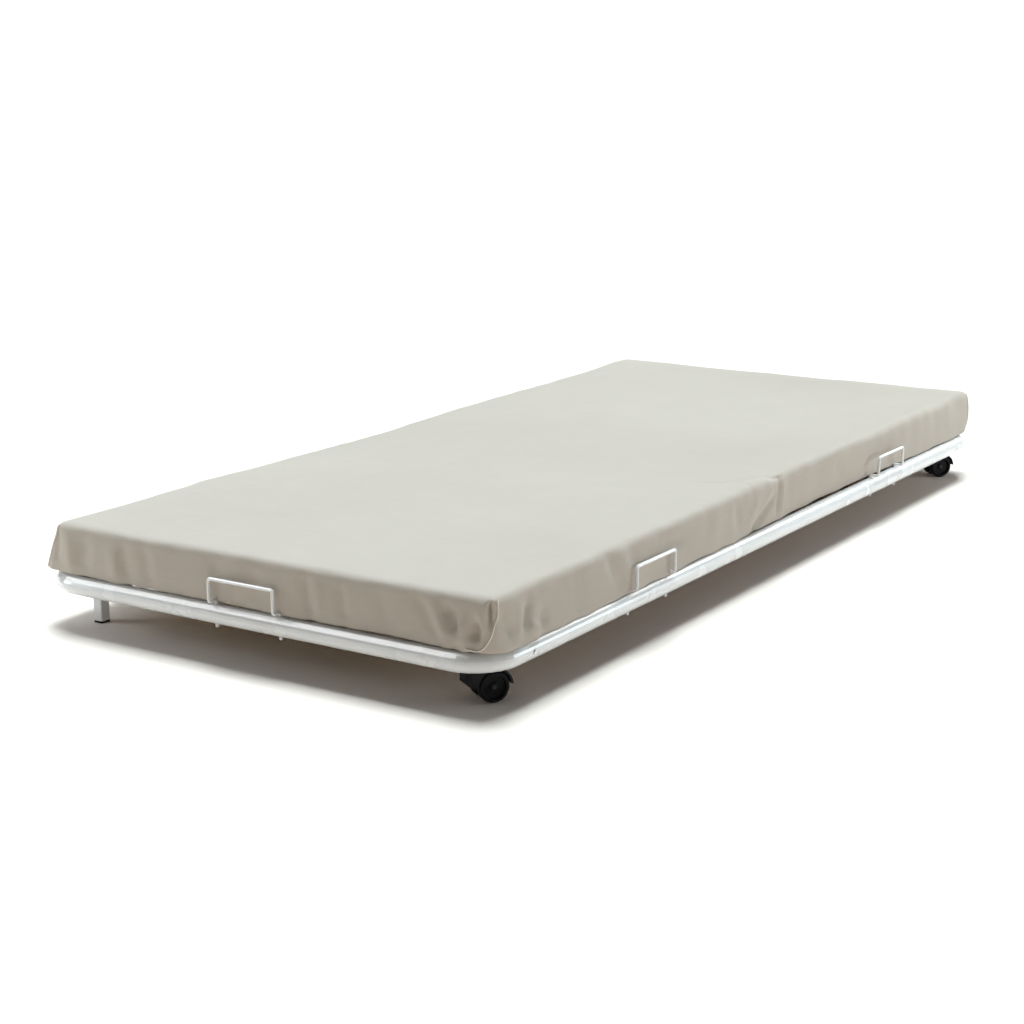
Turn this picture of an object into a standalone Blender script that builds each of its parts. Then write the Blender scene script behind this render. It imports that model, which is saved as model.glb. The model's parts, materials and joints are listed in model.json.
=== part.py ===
"""Low roll-out guest bed: round-tube frame on two legs and two casters, slatted deck,
foam mattress in a fitted cover, held by six bent-wire retainers.

Units are metres. +Z is up, X is the width, Y is the length. The origin is on the floor,
at the middle of the bed. The casters are on the +X side and the legs on the -X side.
"""
import math

import bmesh
import bpy
from mathutils import Matrix, Vector

# Tube frame. Centreline sizes are measured to the middle of the tube.
TUBE_RADIUS = 0.01675
TUBE_WALL = 0.0020
TUBE_HEIGHT = 0.0815
FRAME_HALF_WIDTH = 0.450
FRAME_HALF_LENGTH = 1.016
CORNER_RADIUS = 0.068

# The end bows are swaged down at their ends and plug into the side tubes.
JOINT_Y = 0.938
SPIGOT_LENGTH = 0.048
SPIGOT_RADIUS = 0.0144
JOINT_SCREW_Y = 0.914
JOINT_SCREW_RADIUS = 0.0020

# Where the casters and the legs are fixed under the corner plates, measured from the middle of the bed.
CASTER_MOUNT = (0.385, 0.952)
LEG_MOUNT = (0.392, 0.954)
PLATE_THICKNESS = 0.004
PLATE_REACH = 0.148

# Slatted deck.
SLAT_COUNT = 13
SLAT_PITCH = 0.135
SLAT_SIZE = (0.860, 0.068, 0.010)
SLAT_TOP = 0.0975
LEDGE_HALF_LENGTH = 0.845
LEDGE_WIDTH = 0.026
LEDGE_DEPTH = 0.018
LEDGE_WALL = 0.002

# Square legs with plastic glides.
LEG_SIDE = 0.0205
LEG_WALL = 0.002
LEG_EDGE = 0.003
GLIDE_THICKNESS = 0.0034

# Hooded twin-wheel casters. Each one trails in its own direction, as left by its last roll.
WHEEL_RADIUS = 0.025
WHEEL_WIDTH = 0.014
WHEEL_OFFSET = 0.0165
CASTER_TRAIL = 0.022
FOOT_CASTER_ANGLE = math.radians(57.0)
HEAD_CASTER_ANGLE = math.radians(50.0)
HOOD_RADIUS = 0.031
HOOD_HALF_WIDTH = 0.0238
HOOD_FRONT = -0.0165
HOOD_BOTTOM = 0.028
HOOD_TOP = 0.056
WEB_HALF_WIDTH = 0.0090
POCKET_RADIUS = 0.0275
AXLE_RADIUS = 0.0030
STEM_RADIUS = 0.0050
SOCKET_RADIUS = 0.0080

# Bent-wire mattress retainers, plugged into holes on top of the tube.
WIRE_RADIUS = 0.003
RETAINER_WIDTH = 0.132
RETAINER_OUTBOARD = 0.018
RETAINER_RUN = 0.0225
RETAINER_TOP = 0.062
RETAINER_PIN_END = -0.0225
RETAINER_Y = (-0.535, 0.500)
RETAINER_END_X = -0.006

# Mattress.
MATTRESS_HALF = (0.460, 1.025)
MATTRESS_BOTTOM = 0.0986
MATTRESS_TOP = 0.1895
MATTRESS_CORNER = 0.045
MATTRESS_TOP_EDGE = 0.014
MATTRESS_BOTTOM_EDGE = 0.030
COVER_WALL = 0.0022
COVER_HEM = 0.080

GAP = 0.0003
RUNNING_GAP = 0.00008
TUBE_SIDES = 24
SMALL_SIDES = 12
BEND_STEPS = 7

MATERIALS = {
    "white_powder_coat": ((0.86, 0.86, 0.85, 1.0), 0.28, 0.0),
    "retainer_wire": ((0.80, 0.80, 0.79, 1.0), 0.32, 0.0),
    "zinc_screw": ((0.55, 0.56, 0.57, 1.0), 0.35, 1.0),
    "beech_slat": ((0.62, 0.43, 0.25, 1.0), 0.55, 0.0),
    "black_plastic": ((0.015, 0.015, 0.016, 1.0), 0.38, 0.0),
    "wheel_tread": ((0.020, 0.020, 0.021, 1.0), 0.60, 0.0),
    "steel_pin": ((0.60, 0.60, 0.61, 1.0), 0.30, 1.0),
    "mattress_foam": ((0.80, 0.77, 0.66, 1.0), 0.90, 0.0),
    "beige_cotton": ((0.55, 0.50, 0.42, 1.0), 0.92, 0.0),
}


def clear_scene():
    for item in list(bpy.data.objects):
        bpy.data.objects.remove(item, do_unlink=True)


def make_collection(name):
    group = bpy.data.collections.new(name)
    bpy.context.scene.collection.children.link(group)
    return group


def make_material(name):
    colour, roughness, metallic = MATERIALS[name]
    material = bpy.data.materials.new(name)
    material.use_nodes = True
    shader = material.node_tree.nodes["Principled BSDF"]
    shader.inputs["Base Color"].default_value = colour
    shader.inputs["Roughness"].default_value = roughness
    shader.inputs["Metallic"].default_value = metallic
    material.diffuse_color = colour
    return material


clear_scene()
BED = make_collection("rollout_bed")


def evaluated_copy(item):
    """Return the finished mesh of an object, with its modifiers worked in."""
    bpy.context.view_layer.update()
    graph = bpy.context.evaluated_depsgraph_get()
    return bpy.data.meshes.new_from_object(item.evaluated_get(graph))


def weld(mesh):
    shape = bmesh.new()
    shape.from_mesh(mesh)
    bmesh.ops.remove_doubles(shape, verts=shape.verts, dist=0.000002)
    bmesh.ops.recalc_face_normals(shape, faces=shape.faces)
    shape.to_mesh(mesh)
    shape.free()


def solid_from_curve(name, curve):
    """Turn a curve into a welded mesh object and remove the curve."""
    source = bpy.data.objects.new(name + "_curve", curve)
    BED.objects.link(source)
    mesh = evaluated_copy(source)
    mesh.name = name
    bpy.data.objects.remove(source, do_unlink=True)
    weld(mesh)
    result = bpy.data.objects.new(name, mesh)
    BED.objects.link(result)
    return result


def sweep(name, points, radius, sides=TUBE_SIDES):
    """A round bar along a chain of points, closed at both ends."""
    curve = bpy.data.curves.new(name, "CURVE")
    curve.dimensions = "3D"
    curve.bevel_depth = radius
    curve.bevel_resolution = sides // 2 - 2
    curve.use_fill_caps = True
    spline = curve.splines.new("POLY")
    spline.points.add(len(points) - 1)
    for point, place in zip(spline.points, points):
        point.co = (place[0], place[1], place[2], 1.0)
    return solid_from_curve(name, curve)


def prism(name, outline, low, high):
    """A flat outline in X and Y, made solid from height low to height high."""
    curve = bpy.data.curves.new(name, "CURVE")
    curve.dimensions = "2D"
    curve.fill_mode = "BOTH"
    curve.extrude = (high - low) / 2
    spline = curve.splines.new("POLY")
    spline.points.add(len(outline) - 1)
    for point, place in zip(spline.points, outline):
        point.co = (place[0], place[1], 0.0, 1.0)
    spline.use_cyclic_u = True
    result = solid_from_curve(name, curve)
    result.data.transform(Matrix.Translation((0.0, 0.0, (low + high) / 2)))
    return result


def lathe(name, profile, steps=32):
    """Spin a closed profile of (radius, height) points about Z."""
    mesh = bpy.data.meshes.new(name)
    count = len(profile)
    closed = profile[0][0] > 0.0 or profile[-1][0] > 0.0
    edges = [(i, i + 1) for i in range(count - 1)]
    if closed:
        edges.append((count - 1, 0))
    mesh.from_pydata([(r, 0.0, z) for r, z in profile], edges, [])
    result = bpy.data.objects.new(name, mesh)
    BED.objects.link(result)
    screw = result.modifiers.new("spin", "SCREW")
    screw.axis = "Z"
    screw.angle = math.tau
    screw.steps = steps
    screw.render_steps = steps
    screw.use_merge_vertices = True
    screw.merge_threshold = 0.00001
    bake(result)
    weld(result.data)
    return result


def bake(item):
    """Work an object's modifiers into its mesh."""
    finished = evaluated_copy(item)
    finished.name = item.name
    item.modifiers.clear()
    item.data = finished


def boolean(item, others, operation):
    """Cut or join other solids, which are then removed."""
    for other in others:
        step = item.modifiers.new(operation.lower(), "BOOLEAN")
        step.operation = operation
        step.solver = "EXACT"
        step.object = other
    bake(item)
    for other in others:
        bpy.data.objects.remove(other, do_unlink=True)
    return item


def cut(item, others):
    return boolean(item, others, "DIFFERENCE")


def join(item, others):
    return boolean(item, others, "UNION")


def bevel(item, width, segments, angle=math.radians(50.0)):
    edge = item.modifiers.new("edge", "BEVEL")
    edge.width = width
    edge.segments = segments
    edge.limit_method = "ANGLE"
    edge.angle_limit = angle
    bake(item)
    return item


def box(name, low, high):
    outline = [(low[0], low[1]), (high[0], low[1]), (high[0], high[1]), (low[0], high[1])]
    return prism(name, outline, low[2], high[2])


def rod(name, start, end, radius, sides=TUBE_SIDES):
    return sweep(name, [start, end], radius, sides)


def arc(centre, radius, start, end, steps):
    """Points on an arc in a plane, angles in degrees."""
    points = []
    for i in range(steps + 1):
        angle = math.radians(start + (end - start) * i / steps)
        points.append((centre[0] + radius * math.cos(angle), centre[1] + radius * math.sin(angle)))
    return points


def rounded_rectangle(half_x, half_y, radius, steps):
    points = []
    for sign_x, sign_y, start in ((1, 1, 0), (-1, 1, 90), (-1, -1, 180), (1, -1, 270)):
        centre = (sign_x * (half_x - radius), sign_y * (half_y - radius))
        points.extend(arc(centre, radius, start, start + 90, steps))
    return points


def rounded_path(points, radius, steps):
    """Replace each inner corner of a chain of points by a bend."""
    path = [Vector(points[0])]
    for before, corner, after in zip(points, points[1:], points[2:]):
        corner = Vector(corner)
        back = (Vector(before) - corner).normalized()
        ahead = (Vector(after) - corner).normalized()
        half = back.angle(ahead) / 2
        middle = corner + (back + ahead).normalized() * (radius / math.sin(half))
        first = corner + back * (radius / math.tan(half))
        last = corner + ahead * (radius / math.tan(half))
        turn = (first - middle).rotation_difference(last - middle)
        for i in range(steps + 1):
            part = turn.copy()
            part.angle = turn.angle * i / steps
            path.append(middle + part @ (first - middle))
    path.append(Vector(points[-1]))
    return path


def set_origin(item, point):
    """Move an object's origin to a point, leaving its shape where it is."""
    item.data.transform(Matrix.Translation(-Vector(point)))
    item.location = Vector(point)


def dress(item, material_name, smooth_angle=40.0):
    """Give an object its material, and smooth its round faces."""
    item.data.materials.clear()
    item.data.materials.append(SLOTS[material_name])
    for face in item.data.polygons:
        face.use_smooth = True
    shape = bmesh.new()
    shape.from_mesh(item.data)
    limit = math.radians(smooth_angle)
    for edge in shape.edges:
        edge.smooth = edge.is_manifold and edge.calc_face_angle(math.pi) < limit
    shape.to_mesh(item.data)
    shape.free()
    return item


def copy_of(item, name, matrix):
    twin = bpy.data.objects.new(name, item.data)
    BED.objects.link(twin)
    twin.matrix_world = matrix
    return twin


SLOTS = {name: make_material(name) for name in MATERIALS}


# ---------------------------------------------------------------- frame

def bow_path(sign, end_y):
    """Centreline of an end bow, from one side tube round to the other."""
    centre_x = FRAME_HALF_WIDTH - CORNER_RADIUS
    centre_y = FRAME_HALF_LENGTH - CORNER_RADIUS
    flat = [(FRAME_HALF_WIDTH, end_y)]
    flat += arc((centre_x, centre_y), CORNER_RADIUS, 0, 90, BEND_STEPS)
    flat += arc((-centre_x, centre_y), CORNER_RADIUS, 90, 180, BEND_STEPS)
    flat.append((-FRAME_HALF_WIDTH, end_y))
    return [(x, sign * y, TUBE_HEIGHT) for x, y in flat]


def spigot(name, side, sign, radius, start_y, end_y):
    start = (side * FRAME_HALF_WIDTH, sign * start_y, TUBE_HEIGHT)
    end = (side * FRAME_HALF_WIDTH, sign * end_y, TUBE_HEIGHT)
    return rod(name, start, end, radius)


def screw_hole(side, sign, radius):
    start = (side * (FRAME_HALF_WIDTH + 0.004), sign * JOINT_SCREW_Y, TUBE_HEIGHT)
    end = (side * (FRAME_HALF_WIDTH + 0.030), sign * JOINT_SCREW_Y, TUBE_HEIGHT)
    return rod("screw_hole", start, end, radius, SMALL_SIDES)


def pin_hole(x, y):
    start = (x, y, TUBE_HEIGHT - 0.03)
    end = (x, y, TUBE_HEIGHT + 0.03)
    return rod("pin_hole", start, end, WIRE_RADIUS + GAP, SMALL_SIDES)


def end_bow(name, sign):
    bow = sweep(name, bow_path(sign, JOINT_Y), TUBE_RADIUS)
    spigot_end = JOINT_Y - SPIGOT_LENGTH
    for side in (1, -1):
        join(bow, [spigot("spigot", side, sign, SPIGOT_RADIUS, JOINT_Y + 0.004, spigot_end)])
    bore = TUBE_RADIUS - TUBE_WALL
    cut(bow, [sweep("bore", bow_path(sign, JOINT_Y + 0.002), bore)])
    for side in (1, -1):
        inner = SPIGOT_RADIUS - TUBE_WALL
        cut(bow, [spigot("inner", side, sign, inner, JOINT_Y + 0.006, spigot_end - 0.01)])
        cut(bow, [screw_hole(side, sign, JOINT_SCREW_RADIUS + GAP)])
    for side in (1, -1):
        cut(bow, [pin_hole(RETAINER_END_X + side * RETAINER_WIDTH / 2, sign * FRAME_HALF_LENGTH)])
    return dress(bow, "white_powder_coat")


def side_tube(name, side):
    half = JOINT_Y - GAP
    x = side * FRAME_HALF_WIDTH
    tube = rod(name, (x, -half, TUBE_HEIGHT), (x, half, TUBE_HEIGHT), TUBE_RADIUS)
    bore = rod("bore", (x, -1.0, TUBE_HEIGHT), (x, 1.0, TUBE_HEIGHT), TUBE_RADIUS - TUBE_WALL)
    cut(tube, [bore])
    for sign in (-1, 1):
        cut(tube, [screw_hole(side, sign, JOINT_SCREW_RADIUS + GAP)])
    for centre in RETAINER_Y:
        for offset in (-RETAINER_WIDTH / 2, RETAINER_WIDTH / 2):
            cut(tube, [pin_hole(x, centre + offset)])
    return dress(tube, "white_powder_coat")


def joint_screw(name, side, sign):
    head = TUBE_RADIUS + GAP
    profile = [
        (0.0, head + 0.0022),
        (0.0022, head + 0.0020),
        (0.0036, head + 0.0012),
        (0.0042, head + 0.0002),
        (0.0042, head),
        (JOINT_SCREW_RADIUS, head),
        (JOINT_SCREW_RADIUS, 0.0105),
        (0.0, 0.0090),
    ]
    screw = lathe(name, profile, 16)
    place = Matrix.Translation((side * FRAME_HALF_WIDTH, sign * JOINT_SCREW_Y, TUBE_HEIGHT))
    screw.matrix_world = place @ Matrix.Rotation(side * math.pi / 2, 4, "Y")
    return dress(screw, "zinc_screw")


def corner_plate(name, side, sign):
    """Gusset inside a corner bend, with a curved edge that follows the tube."""
    inner_x = FRAME_HALF_WIDTH - TUBE_RADIUS - GAP
    inner_y = FRAME_HALF_LENGTH - TUBE_RADIUS - GAP
    centre = (FRAME_HALF_WIDTH - CORNER_RADIUS, FRAME_HALF_LENGTH - CORNER_RADIUS)
    edge = CORNER_RADIUS - TUBE_RADIUS - 2 * GAP
    outline = [(inner_x, inner_y - PLATE_REACH)]
    outline += arc(centre, edge, 0, 90, BEND_STEPS)
    outline += [(inner_x - PLATE_REACH, inner_y), (inner_x - PLATE_REACH, inner_y - 0.014)]
    outline.append((inner_x - 0.014, inner_y - PLATE_REACH))
    outline = [(side * x, sign * y) for x, y in outline]
    half = PLATE_THICKNESS / 2
    plate = prism(name, outline, TUBE_HEIGHT - half, TUBE_HEIGHT + half)
    return dress(plate, "white_powder_coat")


def slat_ledge(name, side):
    """Angle rail along the inside of a side tube, which carries the slat ends."""
    outer = FRAME_HALF_WIDTH - TUBE_RADIUS - GAP
    top = SLAT_TOP - SLAT_SIZE[2] - GAP
    outline = [
        (outer, top),
        (outer - LEDGE_WIDTH, top),
        (outer - LEDGE_WIDTH, top - LEDGE_WALL),
        (outer - LEDGE_WALL, top - LEDGE_WALL),
        (outer - LEDGE_WALL, top - LEDGE_DEPTH),
        (outer, top - LEDGE_DEPTH),
    ]
    outline = [(side * x, z) for x, z in outline]
    ledge = prism(name, outline, -LEDGE_HALF_LENGTH, LEDGE_HALF_LENGTH)
    ledge.data.transform(Matrix.Rotation(math.pi / 2, 4, "X"))
    return dress(ledge, "white_powder_coat")


def deck_slat(name, y):
    half_x = SLAT_SIZE[0] / 2
    half_y = SLAT_SIZE[1] / 2
    slat = box(name, (-half_x, y - half_y, SLAT_TOP - SLAT_SIZE[2]), (half_x, y + half_y, SLAT_TOP))
    bevel(slat, 0.0018, 2)
    return dress(slat, "beech_slat")


# ---------------------------------------------------------------- legs

def stand_under_plate(item, sign):
    item.location = (-LEG_MOUNT[0], sign * LEG_MOUNT[1], 0.0)


def leg(name, sign):
    top = TUBE_HEIGHT - PLATE_THICKNESS / 2 - GAP
    bottom = GLIDE_THICKNESS + GAP
    outer = rounded_rectangle(LEG_SIDE / 2, LEG_SIDE / 2, LEG_EDGE, 3)
    bore = LEG_SIDE / 2 - LEG_WALL
    inner = rounded_rectangle(bore, bore, LEG_EDGE - LEG_WALL, 2)
    post = prism(name, outer, bottom, top)
    cut(post, [prism("bore", inner, bottom - 0.01, top + 0.01)])
    stand_under_plate(post, sign)
    return dress(post, "white_powder_coat")


def leg_glide(name, sign):
    """Plastic foot with a plug that fits up inside the leg."""
    foot = prism(name, rounded_rectangle(LEG_SIDE / 2, LEG_SIDE / 2, LEG_EDGE, 3), 0.0, GLIDE_THICKNESS)
    plug = LEG_SIDE / 2 - LEG_WALL - GAP
    join(foot, [prism("plug", rounded_rectangle(plug, plug, 0.001, 2), GLIDE_THICKNESS / 2, 0.016)])
    stand_under_plate(foot, sign)
    return dress(foot, "black_plastic")


# ---------------------------------------------------------------- casters

def caster_frame(sign):
    """Where a caster stands, turned so that its wheels trail along local X."""
    angle = FOOT_CASTER_ANGLE if sign < 0 else HEAD_CASTER_ANGLE
    place = Matrix.Translation((CASTER_MOUNT[0], sign * CASTER_MOUNT[1], 0.0))
    return place @ Matrix.Rotation(angle, 4, "Z")


def across(name, radius, start, end, x, z, sides=TUBE_SIDES):
    """A round bar lying along the wheel axle direction."""
    return rod(name, (x, start, z), (x, end, z), radius, sides)


def caster_body_mesh():
    """Plastic hood over both wheels, with a thick web between them for stem and axle."""
    wheel = (CASTER_TRAIL, WHEEL_RADIUS)
    outline = arc(wheel, HOOD_RADIUS, 5.5, 90, 9)
    outline.append((HOOD_FRONT + 0.010, HOOD_TOP))
    outline += arc((HOOD_FRONT + 0.006, HOOD_TOP - 0.006), 0.006, 100, 180, 4)
    outline.append((HOOD_FRONT, HOOD_BOTTOM))
    body = prism("caster_body", outline, -HOOD_HALF_WIDTH, HOOD_HALF_WIDTH)
    body.data.transform(Matrix.Rotation(math.pi / 2, 4, "X"))
    bevel(body, 0.0025, 3)
    for side in (1, -1):
        start = side * (WEB_HALF_WIDTH + GAP)
        end = side * (HOOD_HALF_WIDTH + 0.01)
        cut(body, [across("pocket", POCKET_RADIUS, start, end, CASTER_TRAIL, WHEEL_RADIUS, 40)])
    boss = across("boss", 0.012, -WEB_HALF_WIDTH, WEB_HALF_WIDTH, CASTER_TRAIL, WHEEL_RADIUS)
    join(body, [boss])
    axle_hole = AXLE_RADIUS + RUNNING_GAP
    cut(body, [across("axle_hole", axle_hole, -0.04, 0.04, CASTER_TRAIL, WHEEL_RADIUS, SMALL_SIDES)])
    stem_hole = STEM_RADIUS + RUNNING_GAP
    cut(body, [rod("stem_hole", (0.0, 0.0, 0.0355), (0.0, 0.0, 0.080), stem_hole)])
    return dress(body, "black_plastic", 30.0)


def wheel_mesh():
    """Plastic wheel with a rounded tread and a dished outer face."""
    half = WHEEL_WIDTH / 2
    bore = AXLE_RADIUS + RUNNING_GAP
    profile = [
        (bore, half - 0.0015),
        (0.0065, half - 0.0015),
        (0.0075, half - 0.0045),
        (0.0180, half - 0.0045),
        (0.0195, half),
        (0.0222, half),
        (0.0242, half - 0.0012),
        (WHEEL_RADIUS, half - 0.0036),
        (WHEEL_RADIUS, -half + 0.0024),
        (0.0242, -half + 0.0006),
        (0.0232, -half),
        (bore, -half),
    ]
    wheel = lathe("caster_wheel", profile, 36)
    wheel.data.transform(Matrix.Rotation(-math.pi / 2, 4, "X"))
    return dress(wheel, "wheel_tread", 30.0)


def stem_mesh():
    """Steel stem with a collar, pressed up into the socket tube."""
    profile = [
        (0.0, 0.0784),
        (0.0040, 0.0784),
        (STEM_RADIUS, 0.0774),
        (STEM_RADIUS, 0.0600),
        (0.0090, 0.0600),
        (0.0090, 0.0568),
        (STEM_RADIUS, 0.0568),
        (STEM_RADIUS, 0.0368),
        (0.0042, 0.0360),
        (0.0, 0.0360),
    ]
    return dress(lathe("caster_stem", profile, 24), "steel_pin", 30.0)


def axle_mesh():
    half = WHEEL_OFFSET + WHEEL_WIDTH / 2 - 0.001
    pin = across("caster_axle", AXLE_RADIUS, -half, half, 0.0, 0.0, SMALL_SIDES)
    return dress(pin, "steel_pin")


def socket_mesh():
    low = 0.0603
    high = TUBE_HEIGHT - PLATE_THICKNESS / 2 - GAP
    bore = STEM_RADIUS + GAP
    profile = [(SOCKET_RADIUS, high), (SOCKET_RADIUS, low), (bore, low), (bore, high)]
    return dress(lathe("caster_socket", profile, 24), "white_powder_coat")


def build_casters():
    masters = {
        "body": caster_body_mesh(),
        "wheel": wheel_mesh(),
        "stem": stem_mesh(),
        "axle": axle_mesh(),
        "socket": socket_mesh(),
    }
    for end, sign in (("foot", -1), ("head", 1)):
        frame = caster_frame(sign)
        hub = frame @ Matrix.Translation((CASTER_TRAIL, 0.0, WHEEL_RADIUS))
        copy_of(masters["socket"], "caster_socket_" + end, frame)
        copy_of(masters["stem"], "caster_stem_" + end, frame)
        copy_of(masters["body"], "caster_body_" + end, frame)
        copy_of(masters["axle"], "caster_axle_" + end, hub)
        inner = hub @ Matrix.Translation((0.0, WHEEL_OFFSET, 0.0))
        copy_of(masters["wheel"], "caster_wheel_" + end + "_a", inner)
        outer = hub @ Matrix.Rotation(math.pi, 4, "Z") @ Matrix.Translation((0.0, WHEEL_OFFSET, 0.0))
        copy_of(masters["wheel"], "caster_wheel_" + end + "_b", outer)
    for master in masters.values():
        bpy.data.objects.remove(master, do_unlink=True)


# ---------------------------------------------------------------- retainers

def retainer_mesh():
    """Wire loop: two pins, two short runs outward, two uprights and a top bar."""
    half = RETAINER_WIDTH / 2
    out = RETAINER_OUTBOARD
    leg_side = [
        (0.0, -half, RETAINER_PIN_END),
        (0.0, -half, RETAINER_RUN),
        (out, -half, RETAINER_RUN),
        (out, -half, RETAINER_TOP),
    ]
    other_side = [(x, -y, z) for x, y, z in reversed(leg_side)]
    path = rounded_path(leg_side + other_side, 0.0048, 3)
    return dress(sweep("retainer", path, WIRE_RADIUS, SMALL_SIDES), "retainer_wire")


def build_retainers():
    master = retainer_mesh()
    places = []
    for side_name, side in (("right", 1), ("left", -1)):
        for end, y in (("foot", RETAINER_Y[0]), ("head", RETAINER_Y[1])):
            turn = 0.0 if side > 0 else math.pi
            places.append(("retainer_" + side_name + "_" + end, side * FRAME_HALF_WIDTH, y, turn))
    places.append(("retainer_foot_end", RETAINER_END_X, -FRAME_HALF_LENGTH, -math.pi / 2))
    places.append(("retainer_head_end", RETAINER_END_X, FRAME_HALF_LENGTH, math.pi / 2))
    for name, x, y, turn in places:
        copy_of(master, name, Matrix.Translation((x, y, TUBE_HEIGHT)) @ Matrix.Rotation(turn, 4, "Z"))
    bpy.data.objects.remove(master, do_unlink=True)


# ---------------------------------------------------------------- mattress

def padded_block(name, inset, corner):
    """A block with upright corners rounded, a soft top edge and a fuller bottom edge."""
    low = MATTRESS_BOTTOM + inset
    high = MATTRESS_TOP - inset
    outline = rounded_rectangle(MATTRESS_HALF[0] - inset, MATTRESS_HALF[1] - inset, corner, 6)
    block = prism(name, outline, low, high)
    top_weight = (MATTRESS_TOP_EDGE - inset) / (MATTRESS_BOTTOM_EDGE - inset)
    shape = bmesh.new()
    shape.from_mesh(block.data)
    weights = shape.edges.layers.float.new("bevel_weight_edge")
    for edge in shape.edges:
        is_rim = edge.calc_face_angle() > math.radians(60.0)
        if is_rim:
            edge[weights] = 1.0 if edge.verts[0].co.z < (low + high) / 2 else top_weight
    shape.to_mesh(block.data)
    shape.free()
    edge = block.modifiers.new("edge", "BEVEL")
    edge.width = MATTRESS_BOTTOM_EDGE - inset
    edge.segments = 5
    edge.limit_method = "WEIGHT"
    edge.use_clamp_overlap = False
    bake(block)
    return block


def build_mattress():
    """Foam block inside a fitted cover, whose hem turns in under the foam."""
    cover = padded_block("mattress_cover", 0.0, MATTRESS_CORNER)
    hollow = padded_block("hollow", COVER_WALL, MATTRESS_CORNER - COVER_WALL)
    mouth = rounded_rectangle(
        MATTRESS_HALF[0] - COVER_HEM, MATTRESS_HALF[1] - COVER_HEM, MATTRESS_CORNER, 6
    )
    cut(cover, [hollow])
    cut(cover, [prism("mouth", mouth, MATTRESS_BOTTOM - 0.01, MATTRESS_BOTTOM + 0.01)])
    inset = COVER_WALL + GAP
    core = padded_block("mattress_core", inset, MATTRESS_CORNER - inset)
    middle = (0.0, 0.0, (MATTRESS_BOTTOM + MATTRESS_TOP) / 2)
    set_origin(cover, middle)
    set_origin(core, middle)
    dress(cover, "beige_cotton")
    dress(core, "mattress_foam")


# ---------------------------------------------------------------- assembly

def build_frame():
    end_bow("end_bow_foot", -1)
    end_bow("end_bow_head", 1)
    for side_name, side in (("right", 1), ("left", -1)):
        side_tube("side_tube_" + side_name, side)
        slat_ledge("slat_ledge_" + side_name, side)
        for end, sign in (("foot", -1), ("head", 1)):
            corner_plate("corner_plate_" + side_name + "_" + end, side, sign)
            joint_screw("joint_screw_" + side_name + "_" + end, side, sign)
    first = -SLAT_PITCH * (SLAT_COUNT - 1) / 2
    for i in range(SLAT_COUNT):
        deck_slat("deck_slat_%02d" % (i + 1), first + i * SLAT_PITCH)


def build_legs():
    for end, sign in (("foot", -1), ("head", 1)):
        leg("leg_" + end, sign)
        leg_glide("leg_glide_" + end, sign)


build_frame()
build_legs()
build_casters()
build_retainers()
build_mattress()
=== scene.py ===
"""Looks of a low roll-out guest bed: white tube frame, wire mattress retainers, slatted deck, two legs,
two twin-wheel casters, and a foam mattress in a beige fitted cotton cover."""

import json
import math

import bmesh
import bpy
import numpy as np
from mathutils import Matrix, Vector, noise
from mathutils.bvhtree import BVHTree


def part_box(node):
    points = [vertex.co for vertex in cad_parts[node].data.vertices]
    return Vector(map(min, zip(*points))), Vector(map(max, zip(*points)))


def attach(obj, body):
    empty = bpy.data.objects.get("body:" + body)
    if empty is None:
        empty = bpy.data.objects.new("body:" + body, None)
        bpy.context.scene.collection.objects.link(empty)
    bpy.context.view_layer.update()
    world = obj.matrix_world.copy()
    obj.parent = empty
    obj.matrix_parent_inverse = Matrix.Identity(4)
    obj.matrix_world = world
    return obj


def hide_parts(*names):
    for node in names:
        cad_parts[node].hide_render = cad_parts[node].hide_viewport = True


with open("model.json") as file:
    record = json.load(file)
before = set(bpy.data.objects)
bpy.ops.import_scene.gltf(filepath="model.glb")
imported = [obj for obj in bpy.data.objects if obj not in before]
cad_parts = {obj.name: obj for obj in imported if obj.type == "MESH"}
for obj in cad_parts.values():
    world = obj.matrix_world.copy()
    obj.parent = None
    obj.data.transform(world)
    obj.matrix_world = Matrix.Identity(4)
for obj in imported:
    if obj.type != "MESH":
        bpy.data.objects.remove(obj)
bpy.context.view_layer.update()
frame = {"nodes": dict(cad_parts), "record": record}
nodes = frame["nodes"]
scene = bpy.context.scene

# ------------------------------------------------------------------ driving dimensions (metres)
COVER_LOW, COVER_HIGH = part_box("mattress_cover")
TUBE_LOW, TUBE_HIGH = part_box("side_tube_right")
TUBE_RADIUS = 0.5 * (TUBE_HIGH.z - TUBE_LOW.z)
TUBE_LINE_X = TUBE_HIGH.x - TUBE_RADIUS

HALF_WIDTH = 0.450          # of the block before it is shaped
HALF_LENGTH = 1.020
BLOCK_BOTTOM = COVER_LOW.z + 0.0003
BLOCK_TOP = COVER_HIGH.z
CORNER_HIGH = 0.012         # plan radius of the corners at the top
CORNER_LOW = 0.038          # and at the bottom, where the cover follows the tube
TOP_EDGE = 0.015            # radius between top and sides
BOTTOM_EDGE = 0.004
FINE_CELL = 0.010           # cloth cells where the folds are
COARSE_CELL = 0.016         # and elsewhere
FINE_X = ((-0.45, -0.41), (0.09, 0.21), (0.34, 0.45))
FINE_Y = ((-1.02, -0.86), (-0.24, 0.06), (0.99, 1.02))
HEM_WIDTH = 0.080           # fabric turned under the foam
MOUTH_INSET = HEM_WIDTH + 0.012     # from the cover's sides to its mouth
SWELL_PRESSURE = 0.2
SWELL_LIMIT = 0.012         # furthest a point of the cover may move when it swells
EXTRA_CLOTH = 0.08          # how much longer the slack cloth is, as a share
CLOTH_FRAMES = 20
SEAM_RADIUS = 0.0013
NEAR_SEAM_POINTS = 60
OTHER_SEAM_POINTS = 30
FOAM_INSET = 0.024          # the foam is scaled to this much less than its solid's half sizes
FOAM_HEIGHT = 0.84          # as a share of the cover's
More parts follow.
